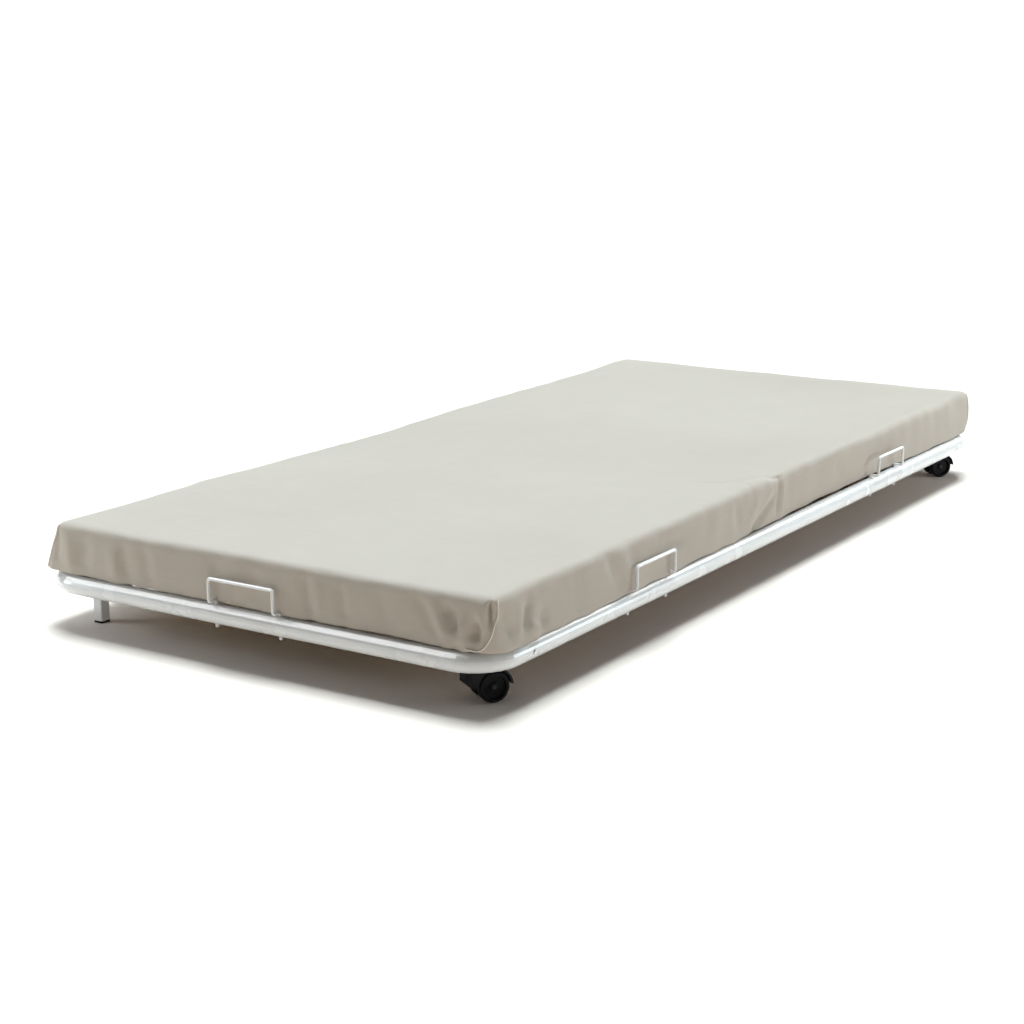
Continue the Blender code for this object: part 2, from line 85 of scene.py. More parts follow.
FOAM_UNEVEN = 0.0012        # furthest the cut foam wanders along each axis
WIRE_THICK = 0.006          # of the mattress retainers
COVER_GAP = 0.002           # behind the upright loop of a retainer
FOAM_GAP = 0.014
FLOOR_RADIUS = 4.2
RETAINERS = [item["node"] for item in frame["record"]["subparts"]
             if item["node"].startswith("retainer")]

# where the four corners of the padded block stand at its top and at its bottom
TOP_CORNERS = {
    (-1, -1): (-0.414, -1.030),
    (1, -1): (0.466, -1.027),
    (1, 1): (0.436, 1.054),
    (-1, 1): (-0.492, 1.062),
}
BOTTOM_CORNERS = {
    (-1, -1): (-0.472, -1.018),
    (1, -1): (0.461, -1.018),
    (1, 1): (0.450, 1.036),
    (-1, 1): (-0.470, 1.040),
}

# folds pressed into the cover: start, end, half width, depth (negative is a valley)
CORNER_FOLDS = [
    ((0.330, -1.027, 0.172), (0.362, -1.014, 0.116), 0.010, -0.0045),
    ((0.360, -1.027, 0.174), (0.372, -1.014, 0.120), 0.008, 0.0040),
    ((0.384, -1.026, 0.166), (0.394, -1.014, 0.128), 0.010, -0.0115),
    ((0.412, -1.025, 0.152), (0.405, -1.014, 0.112), 0.009, 0.0075),
    ((0.430, -1.022, 0.148), (0.427, -1.012, 0.121), 0.010, -0.0140),
    ((0.445, -1.026, 0.172), (0.436, -1.014, 0.106), 0.006, 0.0030),
    ((0.4635, -1.030, 0.188), (0.4595, -1.020, 0.142), 0.006, -0.0095),
    ((0.466, -1.003, 0.162), (0.462, -0.968, 0.120), 0.009, -0.0065),
    ((0.466, -0.955, 0.165), (0.462, -0.950, 0.110), 0.009, 0.0030),
    ((0.466, -0.926, 0.162), (0.462, -0.934, 0.118), 0.010, -0.0075),
    ((0.466, -0.922, 0.130), (0.462, -0.896, 0.109), 0.008, 0.0060),
    ((0.466, -0.889, 0.140), (0.462, -0.870, 0.114), 0.012, -0.0060),
]
MIDDLE_FOLDS = [
    ((0.353, -0.168, 0.190), (0.396, -0.140, 0.190), 0.009, -0.0022),
    ((0.396, -0.140, 0.190), (0.4355, -0.074, 0.190), 0.009, -0.0030),
    ((0.4355, -0.074, 0.190), (0.466, -0.012, 0.188), 0.009, -0.0040),
    ((0.445, -0.150, 0.180), (0.455, -0.050, 0.178), 0.030, 0.0040),
    ((0.462, -0.020, 0.180), (0.460, -0.026, 0.112), 0.006, -0.0045),
    ((0.462, -0.002, 0.176), (0.460, -0.008, 0.110), 0.007, 0.0025),
    ((0.462, -0.047, 0.150), (0.460, -0.089, 0.125), 0.010, -0.0065),
    ((0.462, -0.089, 0.125), (0.460, -0.135, 0.104), 0.011, -0.0065),
    ((0.462, -0.118, 0.165), (0.460, -0.150, 0.130), 0.012, 0.0035),
    ((0.462, -0.210, 0.165), (0.460, -0.198, 0.125), 0.016, -0.0040),
    ((0.462, -0.687, 0.180), (0.460, -0.626, 0.108), 0.014, -0.0055),
    ((0.462, -0.640, 0.170), (0.460, -0.600, 0.115), 0.016, 0.0035),
    ((0.462, -0.500, 0.162), (0.462, -0.413, 0.144), 0.014, -0.0045),
    ((0.462, 0.250, 0.160), (0.460, 0.300, 0.120), 0.020, -0.0035),
]
END_FOLDS = [
    ((0.120, -1.027, 0.176), (0.122, -1.014, 0.112), 0.012, -0.0045),
    ((0.142, -1.027, 0.172), (0.140, -1.014, 0.114), 0.011, 0.0030),
    ((0.188, -1.027, 0.172), (0.186, -1.014, 0.112), 0.012, -0.0045),
    ((0.020, -1.027, 0.168), (0.015, -1.014, 0.112), 0.014, -0.0030),
    ((-0.060, -1.027, 0.172), (-0.064, -1.014, 0.112), 0.014, -0.0028),
    ((0.262, -1.027, 0.172), (0.270, -1.014, 0.112), 0.015, -0.0035),
    ((-0.412, -1.030, 0.182), (-0.430, -1.020, 0.112), 0.011, -0.0065),
    ((-0.385, -1.028, 0.175), (-0.392, -1.018, 0.110), 0.010, 0.0040),
    ((-0.345, -1.027, 0.170), (-0.365, -1.016, 0.112), 0.012, -0.0050),
    ((-0.285, -1.027, 0.165), (-0.290, -1.014, 0.110), 0.011, 0.0035),
    ((-0.262, -1.027, 0.172), (-0.262, -1.014, 0.110), 0.010, -0.0045),
    ((-0.215, -1.027, 0.172), (-0.212, -1.014, 0.110), 0.010, -0.0040),
]
FOLDS = CORNER_FOLDS + MIDDLE_FOLDS + END_FOLDS

# the seam at the near right corner curls back under the end of the bed as it goes down: (x, z) in the
# plane of the end, laid on the cover along SEAM_AIM
NEAR_SEAM = (
    (0.465, 0.187), (0.467, 0.167), (0.461, 0.147), (0.453, 0.124), (0.4445, 0.112), (0.435, 0.1035),
    (0.424, 0.1025), (0.412, 0.1035),
)
NEAR_SEAM_Y = -1.015
SEAM_AIM = (-0.523, 0.800, -0.289)


# ------------------------------------------------------------------ small helpers
def coordinates(obj):
    """The vertices of a mesh object, one row each."""
    flat = np.empty(len(obj.data.vertices) * 3)
    obj.data.vertices.foreach_get("co", flat)
    return flat.reshape(-1, 3)


def normals(obj):
    """The vertex normals of a mesh object, one row each."""
    flat = np.empty(len(obj.data.vertices) * 3)
    obj.data.vertices.foreach_get("normal", flat)
    return flat.reshape(-1, 3)


def set_coordinates(obj, points):
    """Writes rows of coordinates back to the vertices."""
    obj.data.vertices.foreach_set("co", np.ascontiguousarray(points, dtype=np.float32).ravel())
    obj.data.update()


def smooth_step(low, high, value):
    """0 below low, 1 above high, with an even slope between them."""
    t = np.clip((value - low) / (high - low), 0.0, 1.0)
    return t * t * (3.0 - 2.0 * t)


def apply_modifiers(obj):
    """Replaces the mesh by its evaluated shape and drops the modifiers."""
    graph = bpy.context.evaluated_depsgraph_get()
    shaped = bpy.data.meshes.new_from_object(obj.evaluated_get(graph))
    obj.modifiers.clear()
    old = obj.data
    obj.data = shaped
    bpy.data.meshes.remove(old)


def link(name, data):
    """A new object in the scene for a mesh, curve, light or camera."""
    obj = bpy.data.objects.new(name, data)
    scene.collection.objects.link(obj)
    return obj


def shade_smooth(obj):
    """Smooth shading on every face."""
    obj.data.polygons.foreach_set("use_smooth", [True] * len(obj.data.polygons))
    obj.data.update()


# ------------------------------------------------------------------ materials
def add(tree, kind, options=None, **sockets):
    """A node with its options and inputs set. An input given another node's output is joined to it.

    Inputs go by name, or by number as n0, n1 and so on.
    """
    node = tree.nodes.new(kind)
    for name, value in (options or {}).items():
        setattr(node, name, value)
    for name, value in sockets.items():
        numbered = name.startswith("n")
        socket = node.inputs[int(name[1:]) if numbered else name.replace("_", " ")]
        if isinstance(value, bpy.types.NodeSocket):
            tree.links.new(value, socket)
        else:
            socket.default_value = value
    return node


def new_material(name, roughness=0.5, metallic=0.0, **sockets):
    """A material with one Principled shader.

    Returns the material, its node tree, the shader and the object coordinates.
    """
    material = bpy.data.materials.new(name)
    material.use_nodes = True
    tree = material.node_tree
    shader = tree.nodes["Principled BSDF"]
    shader.inputs["Roughness"].default_value = roughness
    shader.inputs["Metallic"].default_value = metallic
    for socket, value in sockets.items():
        shader.inputs[socket.replace("_", " ")].default_value = value
    place = add(tree, "ShaderNodeTexCoord").outputs["Object"]
    return material, tree, shader, place


def stretched(tree, place, scale):
    """Object coordinates scaled along each axis."""
    return add(tree, "ShaderNodeMapping", None, Vector=place, Scale=scale).outputs["Vector"]


def speckle(tree, place, scale, detail=3.0, roughness=0.5, distortion=0.0):
    """The value of a noise texture."""
    node = add(tree, "ShaderNodeTexNoise", None, Vector=place, Scale=scale, Detail=detail,
               Roughness=roughness, Distortion=distortion)
    return node.outputs["Fac"]


def ramp(tree, value, stops):
    """A colour ramp over a value. Stops are (place, grey or colour)."""
    node = add(tree, "ShaderNodeValToRGB", None, Fac=value)
    elements = node.color_ramp.elements
    while len(elements) < len(stops):
        elements.new(0.5)
    for element, (place, colour) in zip(elements, stops):
        element.position = place
        rgb = colour if hasattr(colour, "__len__") else (colour,) * 3
        element.color = (*rgb, 1.0)
    return node.outputs["Color"]


def spread(tree, value, low, high, from_low, from_high):
    """Maps a value from one range to another."""
    node = add(tree, "ShaderNodeMapRange", None, Value=value)
    node.inputs["From Min"].default_value = from_low
    node.inputs["From Max"].default_value = from_high
    node.inputs["To Min"].default_value = low
    node.inputs["To Max"].default_value = high
    return node.outputs["Result"]


def bumps(tree, shader, layers):
    """Stacks bump layers of (height, strength, distance) onto the shader's normal."""
    below = None
    for height, strength, distance in layers:
        node = add(tree, "ShaderNodeBump", None, Height=height, Strength=strength, Distance=distance)
        if below is not None:
            tree.links.new(below, node.inputs["Normal"])
        below = node.outputs["Normal"]
    tree.links.new(below, shader.inputs["Normal"])


def mixed(tree, kind, factor, first, second):
    """Two colours mixed in one of the blend types."""
    options = {"data_type": "RGBA", "blend_type": kind}
    return add(tree, "ShaderNodeMix", options, n0=factor, n6=first, n7=second).outputs[2]


def math_node(tree, operation, first, second):
    """One arithmetic node."""
    return add(tree, "ShaderNodeMath", {"operation": operation}, n0=first, n1=second).outputs[0]


def painted_steel(name, dark, light, roughness):
    """White powder coat: faint cloudiness, fine orange peel, uneven gloss and a few rubbed spots."""
    material, tree, shader, place = new_material(name, Coat_Weight=0.6, Coat_Roughness=0.24)
    clouds = speckle(tree, place, 5.0, 4.0)
    base = ramp(tree, clouds, [(0.3, dark), (0.7, light)])
    rubbed = ramp(tree, speckle(tree, place, 90.0, 6.0, 0.7), [(0.70, 0.0), (0.78, 1.0)])
    worn = tuple(0.72 * channel for channel in dark)
    tree.links.new(mixed(tree, "MIX", math_node(tree, "MULTIPLY", rubbed, 0.05), base, (*worn, 1.0)),
                   shader.inputs["Base Color"])
    gloss = speckle(tree, place, 12.0, 3.0)
    tree.links.new(spread(tree, gloss, roughness - 0.02, roughness + 0.03, 0.3, 0.7),
                   shader.inputs["Roughness"])
    bumps(tree, shader, [(speckle(tree, place, 700.0, 2.0), 0.03, 0.0001)])
    return material


def bare_metal(name, colour, roughness):
    """Plated or ground steel with fine turning marks and slight tarnish."""
    material, tree, shader, place = new_material(name, metallic=1.0)
    tarnish = speckle(tree, place, 120.0, 5.0)
    dull = tuple(0.75 * channel for channel in colour)
    tree.links.new(ramp(tree, tarnish, [(0.35, dull), (0.65, colour)]), shader.inputs["Base Color"])
    scratches = speckle(tree, stretched(tree, place, (4000.0, 300.0, 300.0)), 1.0, 3.0)
    tree.links.new(spread(tree, scratches, roughness - 0.08, roughness + 0.12, 0.3, 0.7),
                   shader.inputs["Roughness"])
    bumps(tree, shader, [(scratches, 0.08, 0.0002)])
    return material


def moulded_plastic(name, colour, roughness, grain):
    """Black moulded plastic or rubber: fine texture, faint dust on it and scuffed gloss."""
    material, tree, shader, place = new_material(name)
    shader.inputs["Specular IOR Level"].default_value = 0.14
    dust = speckle(tree, place, 160.0, 6.0, 0.65)
    pale = tuple(channel + 0.005 for channel in colour)
    tree.links.new(ramp(tree, dust, [(0.45, colour), (0.85, pale)]), shader.inputs["Base Color"])
    scuffs = speckle(tree, place, 70.0, 4.0)
    tree.links.new(spread(tree, scuffs, roughness - 0.1, roughness + 0.12, 0.3, 0.7),
                   shader.inputs["Roughness"])
    bumps(tree, shader, [(speckle(tree, place, grain, 2.0), 0.25, 0.0002)])
    return material


def beech(name):
    """Bent beech laminate: grain along the slat, short dark flecks and a satin surface."""
    material, tree, shader, place = new_material(name, roughness=0.45)
    grain = speckle(tree, stretched(tree, place, (6.0, 160.0, 160.0)), 1.0, 6.0, 0.6, 0.6)
    shades = [(0.25, (0.50, 0.30, 0.15)), (0.5, (0.62, 0.41, 0.23)), (0.75, (0.70, 0.49, 0.29))]
    base = ramp(tree, grain, shades)
    flecks = speckle(tree, stretched(tree, place, (120.0, 1400.0, 1400.0)), 1.0, 2.0)
    marks = ramp(tree, flecks, [(0.60, 0.0), (0.68, 1.0)])
    fleck_colour = (0.30, 0.16, 0.07, 1.0)
    tree.links.new(mixed(tree, "MIX", math_node(tree, "MULTIPLY", marks, 0.45), base, fleck_colour),
                   shader.inputs["Base Color"])
    tree.links.new(spread(tree, grain, 0.38, 0.55, 0.3, 0.7), shader.inputs["Roughness"])
    bumps(tree, shader, [(grain, 0.15, 0.0006), (flecks, 0.10, 0.0002)])
    return material


def foam(name):
    """Cut polyurethane foam: open cells of about a millimetre, slightly yellowed in patches."""
    material, tree, shader, place = new_material(name, roughness=0.95)
    patches = speckle(tree, place, 7.0, 4.0)
    tree.links.new(ramp(tree, patches, [(0.3, (0.66, 0.58, 0.40)), (0.7, (0.74, 0.68, 0.52))]),
                   shader.inputs["Base Color"])
    cells = add(tree, "ShaderNodeTexVoronoi", None, Vector=place, Scale=850.0).outputs["Distance"]
    bumps(tree, shader, [(cells, 0.5, 0.0008), (speckle(tree, place, 60.0, 3.0), 0.2, 0.002)])
    return material


def woven_cotton(name, dark, light, pitch):
    """Plain-weave cotton: threads along each axis, uneven yarns, soft creasing and a little sheen."""
    material, tree, shader, place = new_material(name, roughness=0.85, Sheen_Weight=0.08,
                                                 Sheen_Roughness=0.5)
    shader.inputs["Specular IOR Level"].default_value = 0.4
    clouds = speckle(tree, place, 2.2, 3.0, 0.45)
    base = ramp(tree, clouds, [(0.3, dark), (0.7, light)])
    yarn_long = speckle(tree, stretched(tree, place, (420.0, 5.0, 420.0)), 1.0, 2.0)
    yarn_across = speckle(tree, stretched(tree, place, (5.0, 420.0, 420.0)), 1.0, 2.0)
    yarns = math_node(tree, "ADD", yarn_long, yarn_across)
    streaks = ramp(tree, spread(tree, yarns, 0.0, 1.0, 0.7, 1.3), [(0.2, 0.97), (0.8, 1.0)])
    tree.links.new(mixed(tree, "MULTIPLY", 1.0, base, streaks), shader.inputs["Base Color"])
    threads = None
    for axis in "XYZ":
        wave = add(tree, "ShaderNodeTexWave", {"wave_type": "BANDS", "bands_direction": axis},
                   Vector=place, Scale=0.314 / pitch, Distortion=0.6, Detail=1.0).outputs["Fac"]
        threads = wave if threads is None else math_node(tree, "ADD", threads, wave)
    creases = speckle(tree, place, 11.0, 5.0, 0.55, 0.8)
    tree.links.new(spread(tree, creases, 0.78, 0.92, 0.3, 0.7), shader.inputs["Roughness"])
    bumps(tree, shader, [(threads, 0.12, 0.0004), (yarns, 0.05, 0.0003), (creases, 0.30, 0.004)])
    return material


LOOKS = {
    "white_powder_coat": painted_steel("coat_white", (0.645, 0.635, 0.625), (0.67, 0.66, 0.65), 0.26),
    "retainer_wire": painted_steel("coat_wire", (0.66, 0.645, 0.635), (0.70, 0.685, 0.675), 0.26),
    "zinc_screw": bare_metal("zinc_bright", (0.70, 0.71, 0.72), 0.32),
    "steel_pin": bare_metal("steel_blackened", (0.055, 0.055, 0.058), 0.42),
    "black_plastic": moulded_plastic("plastic_black", (0.0035, 0.0035, 0.0038), 0.42, 1500.0),
    "wheel_tread": moulded_plastic("tread_black", (0.005, 0.005, 0.0053), 0.58, 700.0),
    "beech_slat": beech("beech_slats"),
    "mattress_foam": foam("foam_cream"),
    "beige_cotton": woven_cotton("cotton_beige", (0.392, 0.338, 0.284), (0.417, 0.362, 0.306), 0.0016),
    # the seam cords get a lighter copy of the cover's cotton: a painted highlight standing in for light
    # catching the raised seams
    "seam_cotton_painted_highlight": woven_cotton("cotton_seam_painted_highlight", (0.58, 0.52, 0.45), (0.62, 0.56, 0.49), 0.0016),
}


def dress(obj, look):
    """Gives an object one material."""
    obj.data.materials.clear()
    obj.data.materials.append(LOOKS[look])


# ------------------------------------------------------------------ mattress shapes
def height_share(points):
    """How far up the block each point is: 0 at its bottom, 1 at its top."""
    return (points[:, 2] - BLOCK_BOTTOM) / (BLOCK_TOP - BLOCK_BOTTOM)


def stations(half, rim, fine):
    """Positions along one axis: the given steps in from both ends, and cells of two sizes between them."""
    edge = half - rim[-1]
    places = [-edge]
    while True:
        step = FINE_CELL if any(low <= places[-1] < high for low, high in fine) else COARSE_CELL
        if places[-1] + 1.4 * step > edge:
            break
        places.append(places[-1] + step)
    ends = [half - step for step in rim[:-1]]
    return np.array([-place for place in ends] + places + [edge] + ends[::-1])


def levels(bottom, top):
    """Heights of the rows on the sides: close together at both rims."""
    even = np.linspace(bottom + BOTTOM_EDGE, top - TOP_EDGE, 9)
    low = bottom + BOTTOM_EDGE * np.array([0.0, 0.5])
    high = top - TOP_EDGE * np.array([0.65, 0.35, 0.12, 0.0])
    return np.concatenate([low, even, high])


def lattice_block(name, xs, ys, zs):
    """The outside of a box as a lattice of quads at the given stations."""
    bm = bmesh.new()
    corner = {}

    def vertex(i, j, k):
        if (i, j, k) not in corner:
            corner[i, j, k] = bm.verts.new((xs[i], ys[j], zs[k]))
        return corner[i, j, k]

    nx, ny, nz = len(xs) - 1, len(ys) - 1, len(zs) - 1
    for k, order in ((0, 1), (nz, -1)):
        for i in range(nx):
            for j in range(ny):
                ring = [vertex(i, j, k), vertex(i, j + 1, k), vertex(i + 1, j + 1, k), vertex(i + 1, j, k)]
                bm.faces.new(ring[::order])
    for j, order in ((0, 1), (ny, -1)):
        for i in range(nx):
            for k in range(nz):
                ring = [vertex(i, j, k), vertex(i + 1, j, k), vertex(i + 1, j, k + 1), vertex(i, j, k + 1)]
                bm.faces.new(ring[::order])
    for i, order in ((0, 1), (nx, -1)):
        for j in range(ny):
            for k in range(nz):
                ring = [vertex(i, j, k), vertex(i, j, k + 1), vertex(i, j + 1, k + 1), vertex(i, j + 1, k)]
                bm.faces.new(ring[::order])
    mesh = bpy.data.meshes.new(name)
    bm.to_mesh(mesh)
    bm.free()
    return link(name, mesh)


def round_rim(points, half_width, half_length, level, radius):
    """Rounds the edge between the sides and the face at one level."""
    sign = 1.0 if level > 0.5 * (points[:, 2].min() + points[:, 2].max()) else -1.0
    below = sign * (level - points[:, 2])
    near = below < radius
    on_face = near & (below < 1e-6)
    on_side = near & ~on_face
    inset = np.stack([half_width - np.abs(points[:, 0]), half_length - np.abs(points[:, 1])], axis=1)
    ring = inset.min(axis=1)
    face_reach = np.clip(radius - ring, 0.0, None)
    face_drop = radius - radius * radius / np.hypot(face_reach, radius)
    reach = np.clip(radius - inset, 0.0, None)
    new_inset = inset.copy()
    face_inset = np.where(reach > 0, radius - radius * reach / np.hypot(reach, radius), inset)
    new_inset[on_face] = face_inset[on_face]
    rise = radius - below
    pull = radius - radius * radius / np.hypot(radius, rise)
    side_inset = np.where(reach > 0, pull[:, None] + inset * (1 - pull[:, None] / radius), inset)
    new_inset[on_side] = side_inset[on_side]
    side_drop = radius - radius * rise / np.hypot(radius, rise)
    drop = np.where(on_face, face_drop, np.where(on_side, side_drop, below))
    points[:, 0] = np.sign(points[:, 0]) * (half_width - new_inset[:, 0])
    points[:, 1] = np.sign(points[:, 1]) * (half_length - new_inset[:, 1])
    points[:, 2] = np.where(near, level - sign * drop, points[:, 2])


def round_plan(points, half_width, half_length, radius):
    """Rounds the upright corners. Radius may differ from point to point."""
    reach_x = radius - (half_width - np.abs(points[:, 0]))
    reach_y = radius - (half_length - np.abs(points[:, 1]))
    inside = (reach_x > 0) & (reach_y > 0)
    scale = np.maximum(reach_x, reach_y) / np.maximum(np.hypot(reach_x, reach_y), 1e-9)
    x = np.where(inside, half_width - radius + reach_x * scale, np.abs(points[:, 0]))
    y = np.where(inside, half_length - radius + reach_y * scale, np.abs(points[:, 1]))
    points[:, 0] = np.sign(points[:, 0]) * x
    points[:, 1] = np.sign(points[:, 1]) * y


def padded_block(name):
    """A padded block whose upright corners are tight at the top and open out towards the bottom."""
    rim = (0.0, 0.0035, 0.008, 0.014, 0.021)
    xs = stations(HALF_WIDTH, rim, FINE_X)
    ys = stations(HALF_LENGTH, rim, FINE_Y)
    block = lattice_block(name, xs, ys, levels(BLOCK_BOTTOM, BLOCK_TOP))
    points = coordinates(block)
    height = height_share(points)
    round_rim(points, HALF_WIDTH, HALF_LENGTH, BLOCK_TOP, TOP_EDGE)
    round_rim(points, HALF_WIDTH, HALF_LENGTH, BLOCK_BOTTOM, BOTTOM_EDGE)
    round_plan(points, HALF_WIDTH, HALF_LENGTH, CORNER_LOW + (CORNER_HIGH - CORNER_LOW) * height)
    set_coordinates(block, points)
    return block


def add_group(obj, name, weights):
    """A vertex group from an array of weights, in steps of a twentieth."""
    group = obj.vertex_groups.new(name=name)
    steps = np.round(weights * 20).astype(int)
    for step in range(1, 21):
        members = np.nonzero(steps == step)[0]
        if len(members):
            group.add(members.tolist(), step / 20, "REPLACE")
    return name


def swell(obj, pressure, extra_cloth, loose, held, limit):
    """Blows a closed shape up as cloth, longer where loose and still where held, and caps the moves."""
    start = coordinates(obj)
    cloth = obj.modifiers.new("cloth", "CLOTH")
    settings = cloth.settings
    settings.quality = 4
    settings.mass = 0.3
    settings.tension_stiffness = 15
    settings.compression_stiffness = 15
    settings.shear_stiffness = 7
    settings.bending_stiffness = 0.5
    settings.use_pressure = True
    settings.uniform_pressure_force = pressure
    settings.vertex_group_shrink = add_group(obj, "loose", loose)
    settings.vertex_group_mass = add_group(obj, "held", held)
    settings.shrink_min = 0.0
    settings.shrink_max = -extra_cloth
    settings.effector_weights.gravity = 0.0
    cloth.point_cache.frame_start = 1
    cloth.point_cache.frame_end = CLOTH_FRAMES
    for number in range(1, CLOTH_FRAMES + 1):
        scene.frame_set(number)
    graph = bpy.context.evaluated_depsgraph_get()
    end = coordinates(obj.evaluated_get(graph))
    obj.modifiers.remove(cloth)
    obj.vertex_groups.clear()
    scene.frame_set(1)
    move = end - start
    size = np.linalg.norm(move, axis=1, keepdims=True)
    move *= np.minimum(1.0, limit / np.maximum(size, 1e-9))
    set_coordinates(obj, start + move)


def seed_waves(obj, loose):
    """Starts slack cloth off in upright waves of uneven width, so that it buckles like a tucked sheet."""
    points = coordinates(obj)
    outward = normals(obj)
    for index in np.nonzero(loose > 0.05)[0]:
        x, y, z = points[index]
        wave = noise.noise(Vector((22.0 * x, 22.0 * y, 6.0 * z)))
        points[index] += outward[index] * (0.003 * wave * loose[index])
    set_coordinates(obj, points)


def lean(obj):
    """Stands the block's corners where the real mattress has them, top and bottom."""
    points = coordinates(obj)
    across = points[:, 0] / HALF_WIDTH
    along = points[:, 1] / HALF_LENGTH
    height = height_share(points)
    moved = np.zeros((len(points), 2))
    for key in TOP_CORNERS:
        share = (1 + key[0] * across) * (1 + key[1] * along) / 4
        for level, corners in ((height, TOP_CORNERS), (1 - height, BOTTOM_CORNERS)):
            moved += (share * level)[:, None] * np.array(corners[key])
    points[:, :2] = moved
    set_coordinates(obj, points)


def press_folds(obj, folds):
    """Moves the surface in or out along each fold's line, fading to the sides and towards both ends."""
    points = coordinates(obj)
    outward = normals(obj)
    for start, end, half_width, depth in folds:
        start, end = np.array(start), np.array(end)
        line = end - start
        share = np.clip((points - start) @ line / (line @ line), 0.0, 1.0)
        away = points - (start + share[:, None] * line)
        off = (away * outward).sum(axis=1)
        gap = np.linalg.norm(away - off[:, None] * outward, axis=1)
        fade = np.exp(-(gap / half_width) ** 2) * (1 - smooth_step(0.02, 0.035, np.abs(off)))
        ends = smooth_step(0.0, 0.25, share) * (1 - smooth_step(0.8, 1.0, share)) * 0.6 + 0.4
        points += outward * (depth * fade * ends)[:, None]
    set_coordinates(obj, points)


def puff_and_sag(obj):
    """Fills out the far end, most of all over the casters' side, and lets the left side sag."""
    points = coordinates(obj)
    height = np.clip(height_share(points), 0.0, 1.0)
    reach = smooth_step(0.90, 1.05, points[:, 1]) * (0.45 + 0.55 * smooth_step(-0.2, 0.42, points[:, 0]))
    points[:, 1] += 0.016 * reach * np.sin(math.pi * height ** 0.9)
    crown = np.exp(-((points[:, 1] - 0.985) / 0.05) ** 2)
    crown *= 0.5 + 0.5 * smooth_step(-0.45, 0.40, points[:, 0])
    sag = np.exp(-((points[:, 1] + 0.08) / 0.22) ** 2) * smooth_step(0.25, 0.46, -points[:, 0])
    points[:, 2] += 0.006 * (crown - sag) * smooth_step(0.6, 1.0, height)
    set_coordinates(obj, points)


def drape(obj):
    """Lays the lower edge down over the casters' side tube, and draws it in past the tube's middle."""
    points = coordinates(obj)
    height = np.clip(height_share(points), 0.0, 1.0)
    outer = smooth_step(0.40, 0.44, points[:, 0])
    points[:, 0] -= 0.012 * outer * (1 - height) * np.exp(-((points[:, 1] - 0.25) / 0.35) ** 2)
    off = np.clip(points[:, 0] - TUBE_LINE_X, 0.0, 0.95 * TUBE_RADIUS)
    fall = np.minimum(TUBE_RADIUS - np.sqrt(TUBE_RADIUS ** 2 - off ** 2), 0.005)
    points[:, 2] -= fall * (1 - smooth_step(0.0, 0.022, points[:, 2] - BLOCK_BOTTOM))
    set_coordinates(obj, points)


def clear_retainers(obj, spare):
    """Holds the surface back behind each retainer's upright loop, easing off beside and above it.

    The feet of the loops turn in under the surface, and aren't cleared.
    """
    points = coordinates(obj)
    for name in RETAINERS:
        low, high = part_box(name)
        across = 0 if high.x - low.x < high.y - low.y else 1
        along = 1 - across
        side = math.copysign(1.0, low[across] + high[across])
        limit = max(abs(low[across]), abs(high[across])) - WIRE_THICK - spare
        middle = 0.5 * (low[along] + high[along])
        beside = np.abs(points[:, along] - middle) - 0.5 * (high[along] - low[along])
        above = points[:, 2] - high.z
        hold = (1 - smooth_step(0.012, 0.070, beside)) * (1 - smooth_step(0.006, 0.030, above))
        points[:, across] -= side * hold * np.maximum(side * points[:, across] - limit, 0.0)
    set_coordinates(obj, points)


def ripple_top(obj):
    """Shallow hills and dips of a loosely filled top."""
    points = coordinates(obj)
    for index in np.nonzero(points[:, 2] > BLOCK_TOP - 0.02)[0]:
        x, y, z = points[index]
        broad = noise.noise(Vector((5.0 * x, 4.0 * y, 0.3)))
        close = noise.noise(Vector((16.0 * x, 11.0 * y, 2.7)))
        points[index, 2] += 0.0022 * broad + 0.0008 * close
    set_coordinates(obj, points)


def open_underside(obj, low, high):
    """Removes the faces inside the mouth of the cover, leaving the turned hem."""
    bm = bmesh.new()
    bm.from_mesh(obj.data)
    hidden = []
    for face in bm.faces:
        centre = face.calc_center_median()
        inside = low.x < centre.x < high.x and low.y < centre.y < high.y
        if inside and centre.z < BLOCK_BOTTOM + 0.02 and face.normal.z < -0.8:
            hidden.append(face)
    bmesh.ops.delete(bm, geom=hidden, context="FACES")
    bm.to_mesh(obj.data)
    bm.free()
    obj.data.update()


def cord(name, path, radius):
    """A round cord swept along a path."""
    curve = bpy.data.curves.new(name, "CURVE")
    curve.dimensions = "3D"
    curve.bevel_depth = radius
    curve.bevel_resolution = 2
    curve.use_fill_caps = True
    spline = curve.splines.new("POLY")
    spline.points.add(len(path) - 1)
    for point, place in zip(spline.points, path):
        point.co = (*place, 1.0)
    swept = link(name + "_path", curve)
    graph = bpy.context.evaluated_depsgraph_get()
    piece = link(name, bpy.data.meshes.new_from_object(swept.evaluated_get(graph)))
    bpy.data.objects.remove(swept)
    bpy.data.curves.remove(curve)
    shade_smooth(piece)
    return piece


def drop_on(surface, starts, direction):
    """Where rays from outside meet a surface, lifted off it by most of a seam's radius."""
    hits = []
    for start in starts:
        place, normal, _, _ = surface.ray_cast(Vector(start), Vector(direction).normalized())
        if place is not None:
            hits.append(place + normal * (0.8 * SEAM_RADIUS))
    return hits


def rounded(bends, count):
    """Evenly spaced points on a smooth line near the given bends."""
    line = np.array(bends)
    for _ in range(3):
        first = 0.75 * line[:-1] + 0.25 * line[1:]
        second = 0.25 * line[:-1] + 0.75 * line[1:]
        inner = np.stack((first, second), axis=1).reshape(-1, line.shape[1])
        line = np.vstack((line[:1], inner, line[-1:]))
    gaps = np.linalg.norm(np.diff(line, axis=0), axis=1)
    length = np.concatenate(((0.0,), np.cumsum(gaps)))
    marks = np.linspace(0.0, length[-1], count)
    return np.stack([np.interp(marks, length, column) for column in line.T], axis=1)


